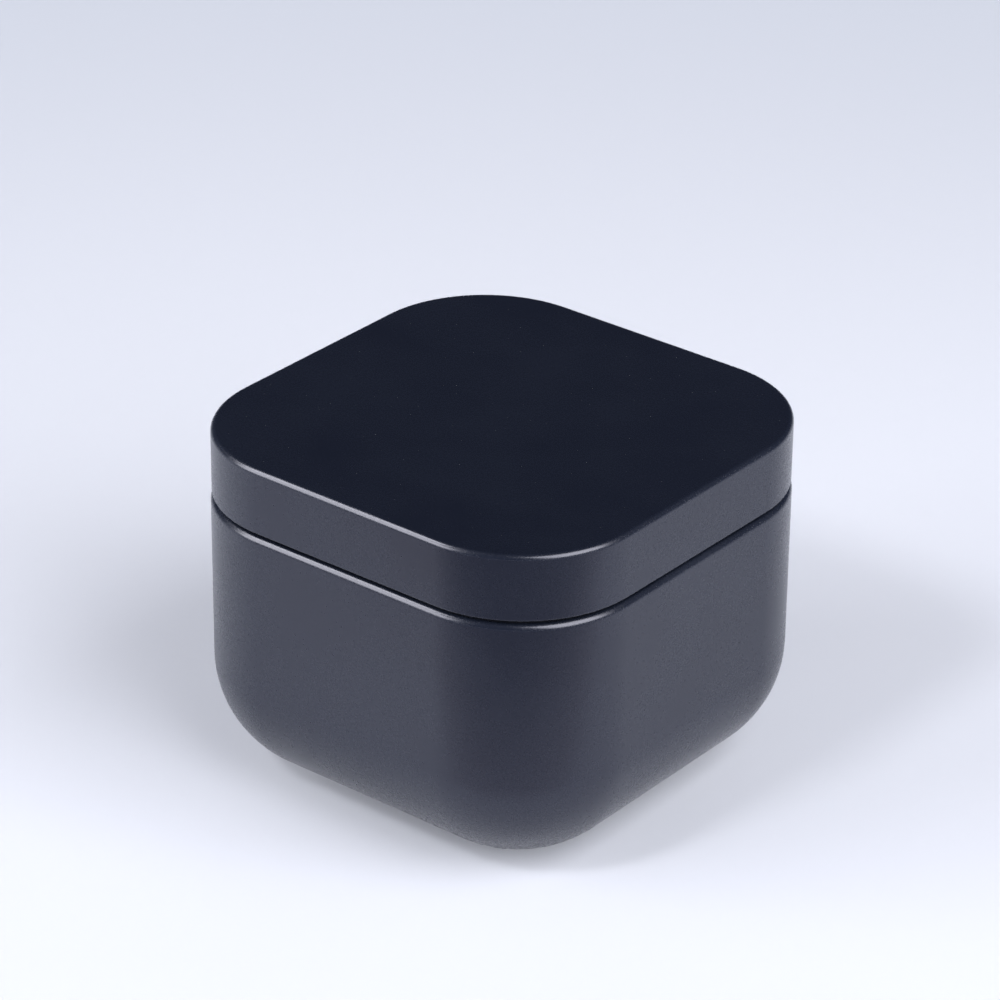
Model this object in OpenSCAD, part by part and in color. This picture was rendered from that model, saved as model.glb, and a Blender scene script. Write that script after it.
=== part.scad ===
// Lidded dappen dish: a square metal pot with round corners and a round-bottomed body, a moulded neck
// that holds a lift-out glass well, and a metal lid that slips over the neck and sits flush.
// Origin: centre of the underside, on the plane the dish rests on. +Z is up, sizes are in millimetres.

/* [Body] */
// Width of the square body, flat to flat
body_w = 50; // [46:0.5:60]
// Height of the metal body, from its base to the shoulder
body_h = 31; // [29:0.1:36]
// Radius of the four upright corners
corner_r = 13.5; // [13.5:0.1:14.5]
// Radius that turns the walls into the base, at most the corner radius
foot_r = 12.7; // [4:0.1:13.5]
// Sheet thickness of the body
wall = 1; // [0.8:0.1:1.2]
// Rounding of the shoulder under the lid
shoulder_r = 0.7; // [0.3:0.1:0.7]

/* [Lid] */
// Height of the lid, from its lower edge to its top
lid_h = 7.2; // [6.8:0.1:9]
// Gap between the shoulder and the lid's lower edge
lid_gap = 0.4; // [0.3:0.1:0.8]
// How far the lid's side stands inside the body's side
lid_inset = 0.1; // [0:0.05:0.2]
// Rounding of the lid's top edge
lid_edge_r = 0.6; // [0.3:0.1:0.9]
// Sheet thickness of the lid
lid_wall = 1; // [0.8:0.1:1.2]

/* [Neck] */
// Wall thickness of the moulded lid liner
liner_wall = 1.1; // [0.9:0.1:1.2]
// Running clearance between the lid liner and the neck
slip_gap = 0.05; // [0.03:0.01:0.1]
// Wall thickness of the neck
neck_wall = 1.2; // [1:0.1:1.3]
// How deep the collar reaches into the body
plug_depth = 7; // [5:0.5:10]

/* [Well] */
// Inner radius of the glass well
well_r = 15.2; // [13:0.1:15.4]
// Straight depth of the well above its round bottom
well_straight = 6; // [4:0.5:7]
// Wall thickness of the glass
glass_wall = 2.2; // [1.8:0.1:2.4]
// Thickness of the glass flange
flange_h = 2; // [1.6:0.1:2.2]
// How far the glass stands above the neck
flange_proud = 0.5; // [0.3:0.1:0.8]

/* [Seals and foot] */
// Thickness of the cushion under the glass flange
cushion_h = 0.8; // [0.6:0.1:1]
// Thickness of the gasket in the lid
gasket_h = 0.9; // [0.7:0.1:1]
// Width of the square foot pad
pad_w = 20; // [14:0.5:20]
// Thickness of the foot pad
pad_h = 0.7; // [0.6:0.1:0.9]
// How far the foot pad stands below the metal base
pad_proud = 0.3; // [0.2:0.1:0.4]

/* [Hidden] */
$fn = 96;
// Overshoot of a cutter past the face it cuts
over = 1;
// Clearance between parts that touch when the dish is closed
seat_gap = 0.02;
// Side clearance of parts that drop into a seat
drop_gap = 0.1;
// Half the square between the four corner axes, shared by every square part
core = body_w / 2 - corner_r;

// Heights
base_z = pad_proud;
rim_z = base_z + body_h;
lid_low_z = rim_z + lid_gap;
lid_top_z = lid_low_z + lid_h;
ceiling_z = lid_top_z - lid_wall;
plate_h = 1;
plate_z = ceiling_z - plate_h;
gasket_seat_h = 0.4;
gasket_low_z = plate_z + gasket_seat_h - gasket_h;
flange_top_z = gasket_low_z - seat_gap;
flange_low_z = flange_top_z - flange_h;
shelf_z = flange_low_z - cushion_h;
shelf_h = 1.2;
neck_top_z = flange_top_z - flange_proud;

// Distances outward from the core square
lid_side = corner_r - lid_inset;
liner_side = lid_side - lid_wall;
neck_side = liner_side - liner_wall - slip_gap;
neck_bore = neck_side - neck_wall;
flange_side = neck_bore - drop_gap;
plug_side = corner_r - wall;
plug_wall = 1.4;
web_h = 1.4;
gasket_side = flange_side - 0.9;

// Rounding and lead-in sizes
lid_low_r = 0.2;
neck_edge_r = 0.4;
lead_in = 0.4;
flange_edge_r = 0.7;
flange_under_r = 0.4;
well_lip_r = 1;
pad_corner_r = 5;
pad_edge_r = 0.2;

// The glass bowl: its outer sphere sits lower than its inner one, which leaves room for a flat base
bowl_r = well_r + glass_wall;
base_extra = 1.5;
well_centre_z = flange_top_z - well_straight;
bowl_centre_z = well_centre_z - base_extra;
bowl_base_z = well_centre_z - well_r - glass_wall;
shelf_hole_r = bowl_r + 0.8;
cushion_hole_r = bowl_r + 0.4;
gasket_hole_r = well_r + well_lip_r + 0.4;

// Sweeps a profile round the core square: x is the distance outward from it, y is the height
module around() {
    for (turn = [0:90:270])
        rotate([0, 0, turn])
            translate([core, core, 0]) {
                rotate_extrude(angle = 90)
                    children();
                rotate([90, 0, 0])
                    linear_extrude(height = 2 * core)
                        children();
            }
}

// The block inside the core square, from z0 up to z1
module middle(z0, z1) {
    translate([-core, -core, z0])
        cube([2 * core, 2 * core, z1 - z0]);
}

// A profile rectangle from (x0, y0) to (x1, y1)
module area(x0, x1, y0, y1) {
    translate([x0, y0])
        square([x1 - x0, y1 - y0]);
}

// Cuts a round of radius r on an outer corner at (x, y). side_y is 1 for a top corner, -1 for a bottom one
module round_off(x, y, r, side_y) {
    difference() {
        area(x - r, x + over, min(y - side_y * r, y + side_y * over), max(y - side_y * r, y + side_y * over));
        translate([x - r, y - side_y * r])
            circle(r);
    }
}

// Section of the body: wall, round foot and base, with the shoulder rounded
module body_section() {
    difference() {
        area(0, corner_r, base_z, rim_z);
        round_off(corner_r, base_z, foot_r, -1);
        round_off(corner_r, rim_z, shoulder_r, 1);
        difference() {
            area(-over, plug_side, base_z + wall, rim_z + over);
            round_off(plug_side, base_z + wall, foot_r - wall, -1);
        }
    }
}

// Section of the collar: plug inside the body, web level with the shoulder, neck, and shelf for the glass
module collar_section() {
    difference() {
        union() {
            area(plug_side - plug_wall, plug_side, rim_z - plug_depth, rim_z);
            area(neck_bore, plug_side, rim_z - web_h, rim_z);
            area(neck_bore, neck_side, rim_z - web_h, neck_top_z);
            area(0, neck_side, shelf_z - shelf_h, shelf_z);
        }
        round_off(neck_side, neck_top_z, neck_edge_r, 1);
    }
}

// Section of the glass flange
module flange_section() {
    difference() {
        area(0, flange_side, flange_low_z, flange_top_z);
        round_off(flange_side, flange_top_z, flange_edge_r, 1);
        round_off(flange_side, flange_low_z, flange_under_r, -1);
    }
}

// Section of the lid: side and top, with the top edge rounded
module lid_section() {
    difference() {
        area(0, lid_side, lid_low_z, lid_top_z);
        round_off(lid_side, lid_top_z, lid_edge_r, 1);
        round_off(lid_side, lid_low_z, lid_low_r, -1);
        area(-over, liner_side, lid_low_z - over, ceiling_z);
    }
}

// Section of the lid liner: plate under the lid, and the skirt that slips over the neck, with a lead-in
module liner_section() {
    skirt_side = liner_side - liner_wall;
    difference() {
        area(0, liner_side, rim_z + seat_gap, ceiling_z);
        area(-over, skirt_side, rim_z - over, plate_z);
        area(-over, gasket_side, plate_z - over, plate_z + gasket_seat_h);
        polygon([
            [skirt_side - over, rim_z - over],
            [skirt_side + lead_in + over, rim_z - over],
            [skirt_side - over, rim_z + lead_in + over]
        ]);
    }
}

// A flat square ring with round corners and a round hole
module seal_ring(side, z0, z1, hole_r) {
    difference() {
        union() {
            around() area(0, side, z0, z1);
            middle(z0, z1);
        }
        translate([0, 0, z0 - over])
            cylinder(r = hole_r, h = z1 - z0 + 2 * over);
    }
}

// A square slab with upright corners of radius r, standing on z = z0
module slab(w, r, z0, h) {
    translate([0, 0, z0])
        linear_extrude(height = h) {
            square([w, w - 2 * r], center = true);
            square([w - 2 * r, w], center = true);
            for (x = [-1, 1], y = [-1, 1])
                translate([x * (w / 2 - r), y * (w / 2 - r)])
                    circle(r);
        }
}

// Drawn metal body, with a shallow seat for the foot pad in its base
module body_shell() {
    color([0.17, 0.17, 0.2])
        difference() {
            union() {
                around() body_section();
                middle(base_z, base_z + wall);
            }
            slab(pad_w + 2 * drop_gap, pad_corner_r + drop_gap, base_z - over, over + pad_h - pad_proud);
        }
}

// Non-slip pad glued into the base: the dish rests on it
module foot_pad() {
    color([0.09, 0.09, 0.1]) {
        slab(pad_w, pad_corner_r, pad_edge_r, pad_h - pad_edge_r);
        slab(pad_w - 2 * pad_edge_r, pad_corner_r - pad_edge_r, 0, pad_edge_r);
    }
}

// Moulded collar pressed into the body: it makes the neck and carries the glass
module neck_collar() {
    color([0.12, 0.12, 0.13])
        difference() {
            union() {
                around() collar_section();
                middle(shelf_z - shelf_h, shelf_z);
            }
            translate([0, 0, shelf_z - shelf_h - over])
                cylinder(r = shelf_hole_r, h = shelf_h + 2 * over);
        }
}

// Soft ring between the glass flange and the collar's shelf
module cup_cushion() {
    color([0.85, 0.86, 0.88])
        seal_ring(flange_side, shelf_z, flange_low_z - seat_gap, cushion_hole_r);
}

// Lift-out glass well: square flange, round bowl with a flat base, round-bottomed hollow
module well_cup() {
    color([0.8, 0.9, 0.95, 0.5])
        difference() {
            union() {
                around() flange_section();
                middle(flange_low_z, flange_top_z);
                rotate_extrude() bowl_outside();
            }
            rotate_extrude() well_inside();
        }
}

// Half section of the bowl's outside, up to the middle of the flange
module bowl_outside() {
    area(0, bowl_r, bowl_centre_z, flange_low_z + flange_h / 2);
    intersection() {
        translate([0, bowl_centre_z])
            circle(bowl_r);
        area(0, bowl_r + over, bowl_base_z, bowl_centre_z);
    }
}

// Half section of the hollow, with a rounded lip at its mouth
module well_inside() {
    area(0, well_r, well_centre_z, flange_top_z + over);
    intersection() {
        translate([0, well_centre_z])
            circle(well_r);
        area(0, well_r + over, well_centre_z - well_r - over, well_centre_z);
    }
    difference() {
        area(well_r, well_r + well_lip_r, flange_top_z - well_lip_r, flange_top_z + over);
        translate([well_r + well_lip_r, flange_top_z - well_lip_r])
            circle(well_lip_r);
    }
}

// Drawn metal lid
module lid_shell() {
    color([0.15, 0.15, 0.18]) {
        around() lid_section();
        middle(ceiling_z, lid_top_z);
    }
}

// Moulded liner pressed into the lid: its skirt slips over the neck and stands on the collar
module lid_liner() {
    color([0.12, 0.12, 0.13]) {
        around() liner_section();
        middle(plate_z + gasket_seat_h, ceiling_z);
    }
}

// Soft gasket in the liner's seat: it closes the mouth of the well
module lid_gasket() {
    color([0.85, 0.86, 0.88])
        seal_ring(gasket_side - drop_gap, gasket_low_z, plate_z + gasket_seat_h, gasket_hole_r);
}

body_shell();
foot_pad();
neck_collar();
cup_cushion();
well_cup();
lid_shell();
lid_liner();
lid_gasket();
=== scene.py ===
"""The looks of a lidded dappen dish: satin black metal, moulded plastic, a glass well, silicone seals.

Every piece is skinned from rings, in metres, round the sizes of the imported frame."""

import math

import bmesh
import bpy
from mathutils import Matrix, Vector


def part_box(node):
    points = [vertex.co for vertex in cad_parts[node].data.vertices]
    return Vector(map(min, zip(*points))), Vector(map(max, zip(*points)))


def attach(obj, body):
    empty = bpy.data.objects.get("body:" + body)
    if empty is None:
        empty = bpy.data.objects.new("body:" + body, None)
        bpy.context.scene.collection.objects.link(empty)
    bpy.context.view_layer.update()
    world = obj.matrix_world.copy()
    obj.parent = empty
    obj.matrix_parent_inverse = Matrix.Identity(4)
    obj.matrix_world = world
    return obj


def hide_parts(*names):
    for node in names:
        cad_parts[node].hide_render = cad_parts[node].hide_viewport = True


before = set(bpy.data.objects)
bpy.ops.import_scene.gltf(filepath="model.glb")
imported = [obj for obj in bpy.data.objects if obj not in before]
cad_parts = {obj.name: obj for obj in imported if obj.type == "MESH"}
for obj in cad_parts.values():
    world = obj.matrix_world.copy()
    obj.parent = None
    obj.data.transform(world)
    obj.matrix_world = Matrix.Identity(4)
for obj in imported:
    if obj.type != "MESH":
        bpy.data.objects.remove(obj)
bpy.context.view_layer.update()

MM = 0.001


# ---------------------------------------------------------------- sizes

# Places and outer sizes come from the frame. Sizes that a box can't give are named here and in each piece.
body_low, body_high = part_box("body_shell")
pad_low, pad_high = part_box("foot_pad")
neck_low, neck_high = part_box("neck_collar")
cup_low, cup_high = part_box("well_cup")
lid_low, lid_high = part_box("lid_shell")
liner_low, liner_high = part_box("lid_liner")
gasket_low, gasket_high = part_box("lid_gasket")
cushion_low, cushion_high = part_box("cup_cushion")

BODY_HALF = body_high.x
RIM_Z = body_high.z
BASE_Z = body_low.z
CORNER_R = 13.5 * MM
FOOT_R = 12.7 * MM
SHOULDER_R = 0.7 * MM
WALL = 1.0 * MM
# From the dish's axis to the axis of each round corner, shared by every square ring
CORE = BODY_HALF - CORNER_R

# Faces round each corner and along each straight side
ARC_STEPS = 24
SIDE_STEPS = 12
# Points closer than this are one point
SAME_POINT = 1e-7
# Edges that bend more than this stay sharp
SHARP_FROM = math.radians(35)


# ---------------------------------------------------------------- rings and skins


def rounded_square(half, radius, height):
    """Points round a square with round corners, anticlockwise from the low end of the +X side."""
    core = half - radius
    corner = []
    for i in range(SIDE_STEPS):
        corner.append((half, core * (2 * i / SIDE_STEPS - 1)))
    for i in range(ARC_STEPS):
        angle = math.pi / 2 * i / ARC_STEPS
        corner.append((core + radius * math.cos(angle), core + radius * math.sin(angle)))
    points = []
    for quarter in range(4):
        turn = Matrix.Rotation(quarter * math.pi / 2, 2)
        points += [Vector((*(turn @ Vector(p)), height)) for p in corner]
    return points


def square(half, height):
    """A ring round the body's own corner axes, so that a wall keeps its thickness round the corners."""
    return rounded_square(half, max(half - CORE, 0.0), height)


def circle(radius, height):
    """A round ring whose points face those of the square rings."""
    points = []
    for p in square(BODY_HALF, height):
        flat = Vector((p.x, p.y, 0)).normalized() * radius
        points.append(Vector((flat.x, flat.y, height)))
    return points


def bend(ring, centre, height, radius, start, end, steps=8):
    """Rings along an arc of a section, between two angles in degrees. 0 points outwards and 90 up."""
    rings = []
    for i in range(steps + 1):
        angle = math.radians(start + (end - start) * i / steps)
        rings.append(ring(centre + radius * math.cos(angle), height + radius * math.sin(angle)))
    return rings


def skin(name, rings, body, material, nodes, hoop=False, high_cap=True, inside=None, inside_from=0):
    """A smooth closed mesh through the rings. A hoop joins its last ring to its first, others are capped.

    Where a material inside is given, the faces from the ring inside_from onwards take it.
    A skin whose last ring is a single point needs no high cap."""
    bm = bmesh.new()
    loops = [[bm.verts.new(p) for p in ring] for ring in rings]
    count = len(loops[0])
    pairs = list(zip(loops, loops[1:]))
    if hoop:
        pairs.append((loops[-1], loops[0]))
    for k, (lower, upper) in enumerate(pairs):
        for i in range(count):
            j = (i + 1) % count
            face = bm.faces.new((lower[i], lower[j], upper[j], upper[i]))
            face.material_index = int(inside is not None and k >= inside_from)
    if not hoop:
        bm.faces.new(list(reversed(loops[0])))
    if not hoop and high_cap:
        face = bm.faces.new(loops[-1])
        face.material_index = int(inside is not None)
    bmesh.ops.remove_doubles(bm, verts=bm.verts, dist=SAME_POINT)
    bmesh.ops.dissolve_degenerate(bm, edges=bm.edges, dist=SAME_POINT / 10)
    bmesh.ops.recalc_face_normals(bm, faces=bm.faces)
    for face in bm.faces:
        face.smooth = True
    mesh = bpy.data.meshes.new(name)
    bm.to_mesh(mesh)
    bm.free()
    mesh.set_sharp_from_angle(angle=SHARP_FROM)
    piece = bpy.data.objects.new(name, mesh)
    bpy.context.scene.collection.objects.link(piece)
    weighted = piece.modifiers.new("even_normals", "WEIGHTED_NORMAL")
    weighted.keep_sharp = True
    weighted.weight = 80
    mesh.materials.append(material)
    if inside is not None:
        mesh.materials.append(inside)
    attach(piece, body)
    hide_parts(*nodes)
    return piece


# ---------------------------------------------------------------- node helpers


def new_material(name):
    """A material with its node tree and its shader."""
    material = bpy.data.materials.new(name)
    material.use_nodes = True
    tree = material.node_tree
    shader = tree.nodes["Principled BSDF"]
    return material, tree, shader


def node(tree, kind, settings=None, **inputs):
    """Adds a node, sets its properties, then its inputs: a value is set, a socket is linked.

    An input is given by its name, or by its number as i0, i1 and so on."""
    made = tree.nodes.new(kind)
    for key, value in (settings or {}).items():
        setattr(made, key, value)
    for key, value in inputs.items():
        numbered = key[0] == "i" and key[1:].isdigit()
        target = made.inputs[int(key[1:]) if numbered else key.replace("_", " ")]
        if isinstance(value, bpy.types.NodeSocket):
            tree.links.new(value, target)
        else:
            target.default_value = value
    return made


def object_place(tree):
    """Position in metres, in the object's own axes."""
    return node(tree, "ShaderNodeTexCoord").outputs["Object"]


def noise(tree, place, scale, detail=2.0, roughness=0.5):
    """Noise with about scale features per metre."""
    made = node(tree, "ShaderNodeTexNoise", Vector=place, Scale=scale, Detail=detail, Roughness=roughness)
    return made.outputs["Fac"]


def spread(tree, value, low, high, from_low=0.3, from_high=0.7):
    """Maps a value between from_low and from_high onto the range low to high, and holds it there.

    The default suits noise, which seldom leaves that range."""
    return node(
        tree,
        "ShaderNodeMapRange",
        Value=value,
        From_Min=from_low,
        From_Max=from_high,
        To_Min=low,
        To_Max=high,
    ).outputs["Result"]


def tint(tree, value, first, second):
    """A colour between two, by a value from 0 to 1."""
    mixed = node(tree, "ShaderNodeMix", {"data_type": "RGBA"})
    tree.links.new(value, mixed.inputs[0])
    mixed.inputs[6].default_value = (*first, 1)
    mixed.inputs[7].default_value = (*second, 1)
    return mixed.outputs[2]


def add_bump(tree, shader, height, strength, depth):
    """Fine relief from a noise value, depth metres high at full strength."""
    bump = node(tree, "ShaderNodeBump", Strength=strength, Distance=depth, Height=height)
    tree.links.new(bump.outputs["Normal"], shader.inputs["Normal"])


# ---------------------------------------------------------------- materials


def satin_black(name):
    """Dark coating on drawn aluminium: very low colour, fine orange peel, uneven gloss."""
    material, tree, shader = new_material(name)
    place = object_place(tree)
    cloud = noise(tree, place, 90.0, 3.0)
    grain = noise(tree, place, 2600.0, 2.0)
    peel = noise(tree, place, 1900.0, 2.0, 0.5)
    colour = tint(tree, spread(tree, cloud, 0.0, 1.0), (0.0024, 0.0032, 0.0062), (0.0032, 0.0042, 0.0076))
    tree.links.new(colour, shader.inputs["Base Color"])
    gloss = node(
        tree,
        "ShaderNodeMath",
        {"operation": "ADD"},
        i0=spread(tree, cloud, 0.255, 0.285),
        i1=spread(tree, grain, -0.015, 0.015),
    ).outputs[0]
    tree.links.new(gloss, shader.inputs["Roughness"])
    shader.inputs["IOR"].default_value = 1.58
    shader.inputs["Specular Tint"].default_value = (0.83, 0.83, 0.95, 1)
    add_bump(tree, shader, peel, 0.05, 0.02 * MM)
    return material


def matt_black(name):
    """The thin, matt coat inside the drawn shell."""
    material, tree, shader = new_material(name)
    place = object_place(tree)
    cloud = noise(tree, place, 130.0, 3.0)
    spray = noise(tree, place, 5200.0, 2.0)
    colour = tint(tree, spread(tree, cloud, 0.0, 1.0), (0.0060, 0.0066, 0.0086), (0.0084, 0.0092, 0.0118))
    tree.links.new(colour, shader.inputs["Base Color"])
    tree.links.new(spread(tree, cloud, 0.60, 0.70), shader.inputs["Roughness"])
    add_bump(tree, shader, spray, 0.1, 0.01 * MM)
    return material


def moulded_black(name):
    """Fine satin moulding: a spark-eroded texture in the plastic."""
    material, tree, shader = new_material(name)
    place = object_place(tree)
    cloud = noise(tree, place, 140.0, 2.0)
    texture = noise(tree, place, 9000.0, 2.0, 0.6)
    colour = tint(tree, spread(tree, cloud, 0.0, 1.0), (0.012, 0.012, 0.014), (0.017, 0.017, 0.020))
    tree.links.new(colour, shader.inputs["Base Color"])
    tree.links.new(spread(tree, texture, 0.42, 0.56), shader.inputs["Roughness"])
    add_bump(tree, shader, texture, 0.25, 0.02 * MM)
    return material


def pressed_glass(name):
    """Clear pressed glass with a faint cool tint and slow waves in its surface.

    Rays from lamps and plain pieces pass straight through it, so that what lies behind it is lit evenly."""
    material, tree, shader = new_material(name)
    place = object_place(tree)
    wave = noise(tree, place, 120.0, 1.0)
    shader.inputs["Base Color"].default_value = (0.93, 0.975, 0.985, 1)
    shader.inputs["Transmission Weight"].default_value = 1.0
    shader.inputs["IOR"].default_value = 1.5
    tree.links.new(spread(tree, wave, 0.01, 0.035), shader.inputs["Roughness"])
    add_bump(tree, shader, wave, 0.05, 0.2 * MM)
    path = node(tree, "ShaderNodeLightPath").outputs
    clear = node(tree, "ShaderNodeBsdfTransparent", Color=(0.94, 0.965, 0.97, 1)).outputs[0]
    bounced = node(tree, "ShaderNodeMixShader", i0=path["Is Diffuse Ray"], i1=shader.outputs[0], i2=clear)
    lit = node(tree, "ShaderNodeMixShader", i0=path["Is Shadow Ray"], i1=bounced.outputs[0], i2=clear)
    tree.links.new(lit.outputs[0], tree.nodes["Material Output"].inputs["Surface"])
    return material


def silicone(name):
    """Milky silicone with a soft skin."""
    material, tree, shader = new_material(name)
    place = object_place(tree)
    cloud = noise(tree, place, 260.0, 2.0)
    skin_noise = noise(tree, place, 4200.0, 2.0)
    colour = tint(tree, spread(tree, cloud, 0.0, 1.0), (0.35, 0.362, 0.374), (0.40, 0.412, 0.424))
    tree.links.new(colour, shader.inputs["Base Color"])
    tree.links.new(spread(tree, skin_noise, 0.38, 0.5), shader.inputs["Roughness"])
    shader.inputs["Subsurface Weight"].default_value = 0.35
    shader.inputs["Subsurface Radius"].default_value = (0.9, 0.9, 1.0)
    shader.inputs["Subsurface Scale"].default_value = 0.6 * MM
    add_bump(tree, shader, skin_noise, 0.15, 0.02 * MM)
    return material


def foot_rubber(name):
    """Matt dense rubber."""
    material, tree, shader = new_material(name)
    place = object_place(tree)
    cloud = noise(tree, place, 400.0, 3.0)
    pores = noise(tree, place, 6000.0, 3.0, 0.7)
    colour = tint(tree, spread(tree, cloud, 0.0, 1.0), (0.012, 0.012, 0.013), (0.022, 0.022, 0.023))
    tree.links.new(colour, shader.inputs["Base Color"])
    tree.links.new(spread(tree, pores, 0.7, 0.9), shader.inputs["Roughness"])
    add_bump(tree, shader, pores, 0.4, 0.03 * MM)
    return material


body_metal = satin_black("body_metal")
body_inside = matt_black("body_inside")
lid_metal = satin_black("lid_metal")
neck_plastic = moulded_black("neck_plastic")
liner_plastic = moulded_black("liner_plastic")
well_glass = pressed_glass("well_glass")
seal_silicone = silicone("seal_silicone")
pad_rubber = foot_rubber("foot_rubber")


# ---------------------------------------------------------------- pieces


def make_body():
    """Drawn shell: seat for the pad, round foot, wall, rounded shoulder, and the same again inside."""
    seat_gap = 0.1 * MM
    seat_half = pad_high.x + seat_gap
    seat_z = pad_high.z
    seat_corner = 5.1 * MM
    lip = 0.15 * MM
    inner = BODY_HALF - WALL
    inner_edge = 0.12 * MM

    def seat(half, height):
        return rounded_square(half, seat_corner + half - seat_half, height)

    rings = [seat(seat_half, seat_z)]
    rings += bend(seat, seat_half + lip, BASE_Z + lip, lip, 180, 270, 4)
    rings += bend(square, BODY_HALF - FOOT_R, BASE_Z + FOOT_R, FOOT_R, -90, 0, 24)
    wall_low = BASE_Z + FOOT_R
    wall_high = RIM_Z - SHOULDER_R
    rings += [square(BODY_HALF, wall_low + (wall_high - wall_low) * third / 3) for third in (1, 2)]
    rings += bend(square, BODY_HALF - SHOULDER_R, RIM_Z - SHOULDER_R, SHOULDER_R, 0, 90, 10)
    rings += bend(square, inner + inner_edge, RIM_Z - inner_edge, inner_edge, 90, 180, 3)
    inside_from = len(rings) - 1
    rings += bend(square, BODY_HALF - FOOT_R, BASE_Z + FOOT_R, FOOT_R - WALL, 0, -90, 20)
    return skin(
        "body_shell_drawn",
        rings,
        "body",
        body_metal,
        ["body_shell"],
        inside=body_inside,
        inside_from=inside_from,
    )


def make_pad():
    """Foot pad with a round edge and three shallow tread grooves on its underside."""
    half = pad_high.x
    corner = 5.0 * MM
    edge = 0.2 * MM
    least_corner = 0.6 * MM
    groove = 0.12 * MM
    pitch = 1.6 * MM
    grooves = 3

    def ring(at, height):
        return rounded_square(at, max(corner + at - half, least_corner), height)

    rings = [ring(half, pad_high.z)]
    rings += bend(ring, half - edge, edge + pad_low.z, edge, 0, -90, 5)
    for turn in range(grooves):
        at = half - pitch * (turn + 1)
        rings += [ring(at + groove, pad_low.z), ring(at + groove / 2, pad_low.z + groove)]
        rings += [ring(at - groove / 2, pad_low.z + groove), ring(at - groove, pad_low.z)]
    return skin("foot_pad_tread", rings, "body", pad_rubber, ["foot_pad"])


def make_collar():
    """Moulded collar: plug in the body, ledge level with the shoulder, neck, and shelf for the glass."""
    plug_out = neck_high.x
    plug_in = plug_out - 1.4 * MM
    neck_out = 22.75 * MM
    neck_in = neck_out - 1.2 * MM
    web_z = RIM_Z - 1.4 * MM
    shelf_z = cushion_low.z
    under_z = shelf_z - 1.2 * MM
    hole = 18.2 * MM
    top_z = neck_high.z
    soft = 0.15 * MM
    crown = 0.4 * MM
    rings = [square(plug_out, neck_low.z + soft), square(plug_out, RIM_Z - soft)]
    rings += bend(square, plug_out - soft, RIM_Z - soft, soft, 0, 90, 3)
    rings += bend(square, neck_out + soft, RIM_Z + soft, soft, 270, 180, 3)
    rings += bend(square, neck_out - crown, top_z - crown, crown, 0, 90, 6)
    rings += bend(square, neck_in + soft, top_z - soft, soft, 90, 180, 3)
    rings += bend(square, neck_in - soft, shelf_z + soft, soft, 0, -90, 3)
    rings += bend(circle, hole + soft, shelf_z - soft, soft, 90, 180, 3)
    rings += bend(circle, hole + soft, under_z + soft, soft, 180, 270, 3)
    rings += [square(neck_in, under_z), square(neck_in, web_z), square(plug_in, web_z)]
    rings += [square(plug_in, neck_low.z), square(plug_out - soft, neck_low.z)]
    return skin(
        "neck_collar_moulded",
        rings,
        "body",
        neck_plastic,
        ["neck_collar"],
        hoop=True,
    )


def make_seal(name, body, low, high, hole, nodes):
    """Flat silicone ring, square outside and round inside, with soft edges."""
    soft = 0.22 * MM
    half = high.x
    rings = bend(square, half - soft, high.z - soft, soft, 0, 90, 5)
    rings += bend(circle, hole + soft, high.z - soft, soft, 90, 180, 5)
    rings += bend(circle, hole + soft, low.z + soft, soft, 180, 270, 5)
    rings += bend(square, half - soft, low.z + soft, soft, 270, 360, 5)
    return skin(name, rings, body, seal_silicone, nodes, hoop=True)


def make_cup():
    """Pressed glass: square flange with fire-polished edges, round bowl on a flat foot, round well."""
    well_r = 15.2 * MM
    bowl_r = 17.4 * MM
    flange_z = cushion_high.z + 0.02 * MM
    top_z = cup_high.z
    well_z = top_z - 6.0 * MM
    bowl_z = well_z - 1.5 * MM
    foot_z = cup_low.z
    foot_r = math.sqrt(bowl_r**2 - (bowl_z - foot_z) ** 2)
    foot_angle = math.degrees(math.asin((bowl_z - foot_z) / bowl_r))
    lip = 1.0 * MM
    top_edge = 0.7 * MM
    low_edge = 0.4 * MM
    neck = 0.3 * MM
    half = cup_high.x
    foot_flat = foot_r - 0.8 * MM
    foot_edge = foot_r - 0.3 * MM
    foot_rise = 0.02 * MM
    # Degrees of the bowl's arc that the soft edge of its foot takes, and the last degree of the well's arc
    edge_angle = 3
    last_angle = -88
    rings = [circle(foot_flat, foot_z), circle(foot_edge, foot_z + foot_rise)]
    rings += bend(circle, 0, bowl_z, bowl_r, edge_angle - foot_angle, 0, 22)
    rings += [circle(bowl_r, flange_z - neck)]
    rings += bend(circle, bowl_r + neck, flange_z - neck, neck, 150, 90, 3)
    rings += bend(square, half - low_edge, flange_z + low_edge, low_edge, -90, 0, 6)
    rings += bend(square, half - top_edge, top_z - top_edge, top_edge, 0, 90, 8)
    rings += bend(circle, well_r + lip, top_z - lip, lip, 90, 180, 10)
    rings += bend(circle, 0, well_z, well_r, 0, last_angle, 32)
    rings += [circle(0, well_z - well_r)]
    return skin(
        "well_cup_glass",
        rings,
        "cup",
        well_glass,
        ["well_cup"],
        high_cap=False,
    )


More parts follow.
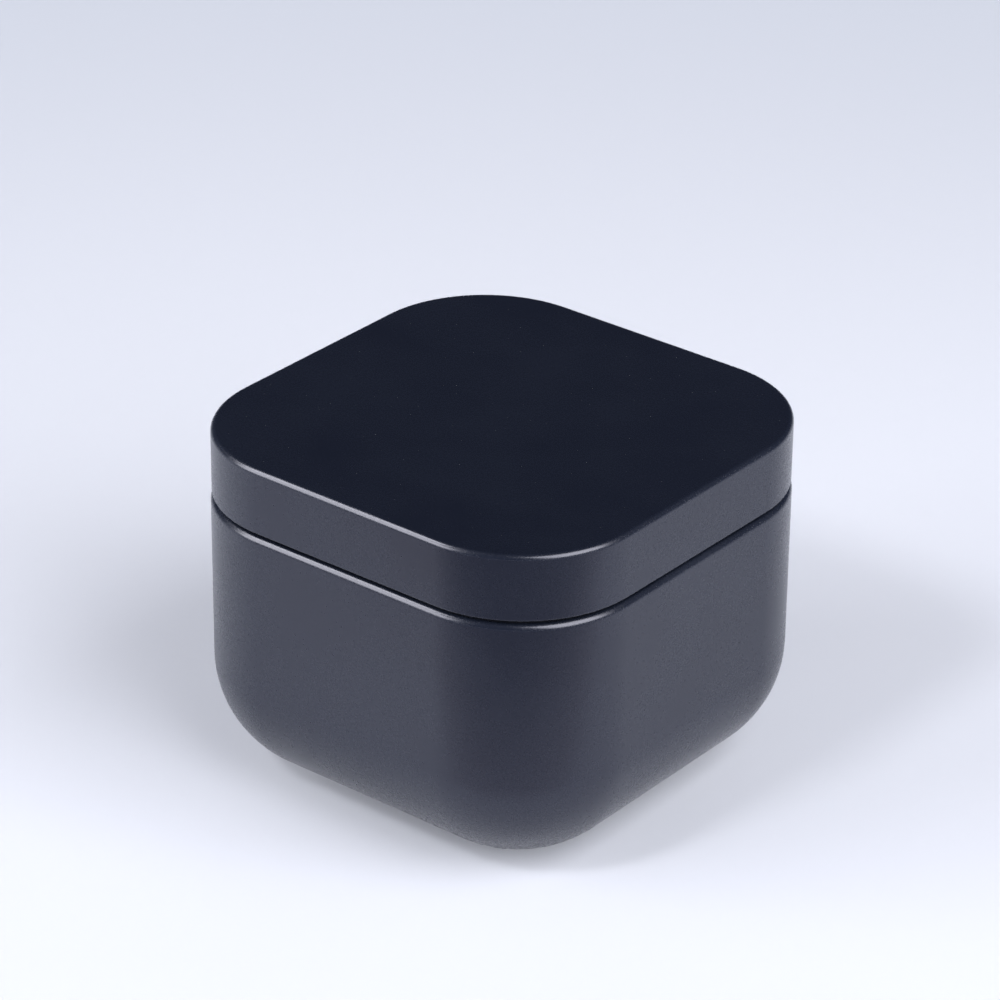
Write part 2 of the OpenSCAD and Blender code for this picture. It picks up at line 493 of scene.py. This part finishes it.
def make_lid():
    """Drawn lid: flat top, rounded top edge, side, and a fine round on its lower edge."""
    half = lid_high.x
    inner = half - WALL
    edge = 0.6 * MM
    low_edge = 0.2 * MM
    bevel = 0.05 * MM
    ceiling = lid_high.z - WALL
    # Rings this far in from the edges, so that the flat faces shade flat
    top_flat = half - 3 * MM
    ceiling_flat = inner - 2 * MM
    rings = [square(top_flat, lid_high.z)]
    rings += bend(square, half - edge, lid_high.z - edge, edge, 90, 0, 10)
    rings += [square(half, lid_low.z + (lid_high.z - lid_low.z) * 0.5)]
    rings += bend(square, half - low_edge, lid_low.z + low_edge, low_edge, 0, -90, 5)
    rings += [square(inner + bevel, lid_low.z), square(inner, lid_low.z + bevel)]
    rings += [square(inner, ceiling), square(ceiling_flat, ceiling)]
    return skin("lid_shell_drawn", rings, "lid", lid_metal, ["lid_shell"])


def make_liner():
    """Moulded liner: plate under the lid with the gasket's seat, and the skirt that slips over the neck."""
    out = liner_high.x - 0.01 * MM
    skirt = liner_high.x - 1.1 * MM
    plate_z = liner_high.z - 1.0 * MM
    seat_half = gasket_high.x + 0.1 * MM
    seat_z = gasket_high.z
    soft = 0.15 * MM
    lead = 0.4 * MM
    # A ring this far in from an edge, so that the flat face shades flat
    flat = 1 * MM
    rings = [square(out - flat, liner_high.z), square(out, liner_high.z)]
    rings += [square(out, liner_low.z + soft)]
    rings += bend(square, out - soft, liner_low.z + soft, soft, 0, -90, 3)
    rings += [square(skirt + lead, liner_low.z), square(skirt, liner_low.z + lead)]
    rings += [square(skirt, plate_z - soft)]
    rings += bend(square, skirt - soft, plate_z - soft, soft, 0, 90, 3)
    rings += [square(seat_half, plate_z), square(seat_half, seat_z), square(seat_half - flat, seat_z)]
    return skin("lid_liner_moulded", rings, "lid", liner_plastic, ["lid_liner"])


CUSHION_HOLE = 17.8 * MM
GASKET_HOLE = 16.6 * MM

make_body()
make_pad()
make_collar()
make_seal("cup_cushion_ring", "body", cushion_low, cushion_high, CUSHION_HOLE, ["cup_cushion"])
make_cup()
make_lid()
make_liner()
make_seal("lid_gasket_ring", "lid", gasket_low, gasket_high, GASKET_HOLE, ["lid_gasket"])


# ---------------------------------------------------------------- floor, surroundings and lights

# The even tone of the far floor and of the background
PALE = (0.64, 0.68, 0.79)


def make_floor():
    """Pale floor: lit near the dish, and fading into an even pale tone far away."""
    reach = 6.0
    below_pad = 0.02 * MM
    fade_from, fade_to = 60 * MM, 330 * MM
    mesh = bpy.data.meshes.new("floor")
    corners = [(-reach, -reach), (reach, -reach), (reach, reach), (-reach, reach)]
    mesh.from_pydata([(x, y, -below_pad) for x, y in corners], [], [(0, 1, 2, 3)])
    floor = bpy.data.objects.new("floor", mesh)
    bpy.context.scene.collection.objects.link(floor)
    material, tree, shader = new_material("floor_pale")
    shader.inputs["Base Color"].default_value = (0.36, 0.37, 0.415, 1)
    shader.inputs["Roughness"].default_value = 0.75
    shader.inputs["Specular IOR Level"].default_value = 0.2
    glow = node(tree, "ShaderNodeEmission", Color=(*PALE, 1), Strength=1.0)
    place = object_place(tree)
    distance = node(tree, "ShaderNodeVectorMath", {"operation": "LENGTH"}, i0=place).outputs["Value"]
    far = node(
        tree,
        "ShaderNodeMapRange",
        {"interpolation_type": "SMOOTHSTEP"},
        Value=distance,
        From_Min=fade_from,
        From_Max=fade_to,
        To_Min=0.0,
        To_Max=1.0,
    ).outputs["Result"]
    blend = node(tree, "ShaderNodeMixShader", i0=far, i1=shader.outputs[0], i2=glow.outputs[0])
    tree.links.new(blend.outputs[0], tree.nodes["Material Output"].inputs["Surface"])
    mesh.materials.append(material)


def make_flag():
    """Dark card on the floor towards the camera, seen only in reflections: a painted dark reflection of
    shade on the floor in front, which darkens the front corner.

    Its near edge is nearly as pale as the floor, so that the mirror image has no hard edge."""
    half_width = 150 * MM
    near, dark_from, far = 42 * MM, 78 * MM, 400 * MM
    azimuth = math.radians(-57)
    mesh = bpy.data.meshes.new("flag")
    corners = [(near, -half_width), (far, -half_width), (far, half_width), (near, half_width)]
    mesh.from_pydata([(x, y, 0) for x, y in corners], [], [(0, 1, 2, 3)])
    flag = bpy.data.objects.new("flag", mesh)
    flag.rotation_euler = (0, 0, azimuth)
    bpy.context.scene.collection.objects.link(flag)
    material, tree, shader = new_material("flag_painted_shade")
    place = object_place(tree)
    reach = node(tree, "ShaderNodeSeparateXYZ", Vector=place).outputs["X"]
    # Painted shade: the card's colour goes from nearly floor-pale at its near edge to dark beyond dark_from
    depth = spread(tree, reach, 0.0, 1.0, near, dark_from)
    tree.links.new(tint(tree, depth, (0.30, 0.29, 0.32), (0.055, 0.05, 0.06)), shader.inputs["Base Color"])
    shader.inputs["Roughness"].default_value = 0.9
    mesh.materials.append(material)
    flag.visible_camera = False
    flag.visible_diffuse = False
    flag.visible_transmission = False
    flag.visible_shadow = False


def make_world():
    """Pale where the camera sees it, a dark room above the horizon for everything the dish mirrors."""
    world = bpy.data.worlds.new("studio")
    bpy.context.scene.world = world
    world.use_nodes = True
    tree = world.node_tree
    tree.nodes.clear()
    # Sine of the height above the horizon from which the room is at its darkest
    darkest_from = 0.12
    direction = node(tree, "ShaderNodeTexCoord").outputs["Generated"]
    height = node(tree, "ShaderNodeSeparateXYZ", Vector=direction)
    rise = node(
        tree,
        "ShaderNodeMapRange",
        {"interpolation_type": "SMOOTHSTEP"},
        Value=height.outputs["Z"],
        From_Min=0.0,
        From_Max=darkest_from,
        To_Min=0.0,
        To_Max=1.0,
    ).outputs["Result"]
    room = tint(tree, rise, (0.05, 0.06, 0.10), (0.038, 0.045, 0.078))
    seen = node(tree, "ShaderNodeBackground", Color=(*PALE, 1), Strength=1.0)
    mirrored = node(tree, "ShaderNodeBackground", Color=room, Strength=1.0)
    direct = node(tree, "ShaderNodeLightPath").outputs["Is Camera Ray"]
    both = node(tree, "ShaderNodeMixShader", i0=direct, i1=mirrored.outputs[0], i2=seen.outputs[0])
    output = node(tree, "ShaderNodeOutputWorld")
    tree.links.new(both.outputs[0], output.inputs["Surface"])


# Height on the dish's axis that the softboxes face
LAMP_TARGET_Z = 20 * MM


def make_softbox(
    name,
    azimuth,
    elevation,
    wide,
    high,
    brightness,
    distance=0.75,
    mirrored=True,
    lights=True,
):
    """Rectangular softbox facing the dish. Directions and widths are in degrees, as seen from the dish.

    The coat mirrors it only if mirrored is on. It lights the floor and plain pieces only if lights is on."""
    turn, rise = math.radians(azimuth), math.radians(elevation)
    toward = Vector((math.cos(turn) * math.cos(rise), math.sin(turn) * math.cos(rise), math.sin(rise)))
    lamp = bpy.data.lights.new(name, "AREA")
    lamp.shape = "RECTANGLE"
    lamp.size = 2 * distance * math.tan(math.radians(wide / 2))
    lamp.size_y = 2 * distance * math.tan(math.radians(high / 2))
    lamp.energy = math.pi * lamp.size * lamp.size_y * brightness
    box = bpy.data.objects.new(name, lamp)
    box.location = toward * distance + Vector((0, 0, LAMP_TARGET_Z))
    box.rotation_mode = "QUATERNION"
    box.rotation_quaternion = (-toward).to_track_quat("-Z", "Y")
    box.visible_camera = False
    box.visible_glossy = mirrored
    box.visible_transmission = mirrored
    box.visible_diffuse = lights
    bpy.context.scene.collection.objects.link(box)


def make_camera():
    """Long lens, a little above the dish, turned to the corner between its front and right sides."""
    azimuth = math.radians(38.62)
    elevation = math.radians(27.78)
    roll = math.radians(0.62)
    aim = Vector((-0.18, -0.15, 29.4)) * MM
    distance = 455.0 * MM
    back = Vector(
        (
            math.sin(azimuth) * math.cos(elevation),
            -math.cos(azimuth) * math.cos(elevation),
            math.sin(elevation),
        )
    )
    level = Vector((math.cos(azimuth), math.sin(azimuth), 0))
    up = back.cross(level)
    right = level * math.cos(roll) + up * math.sin(roll)
    top = back.cross(right)
    data = bpy.data.cameras.new("camera")
    data.sensor_width = 36.0
    data.lens = 160.1
    data.clip_start = 0.01
    data.clip_end = 20.0
    camera = bpy.data.objects.new("camera", data)
    turn = Matrix((right, top, back)).transposed().to_4x4()
    camera.matrix_world = Matrix.Translation(aim + back * distance) @ turn
    bpy.context.scene.collection.objects.link(camera)
    bpy.context.scene.camera = camera


make_floor()
make_flag()
make_world()

# Softboxes that the coat mirrors: azimuth, elevation, width, height, brightness
make_softbox("softbox_left_low", -128, 22, 36, 32, 9.2)
make_softbox("softbox_left_high", -147, 47, 22, 20, 12.5, lights=False)
make_softbox("softbox_right", -3, 40, 46, 48, 8.9)
# Fills that only light the floor and the plain pieces: one in front, and a low ring all round
make_softbox("fill_front", -96, 49, 9, 9, 67.0, mirrored=False)
RING_SIDES = 6
SIDE_WIDTH = 360 / RING_SIDES
for side in range(RING_SIDES):
    name = f"fill_low_{side + 1}"
    make_softbox(name, SIDE_WIDTH * side, 4.4, SIDE_WIDTH, 8.6, 31.0, distance=2.0, mirrored=False)

make_camera()

bpy.context.scene.view_settings.view_transform = "Standard"
bpy.context.scene.view_settings.look = "None"
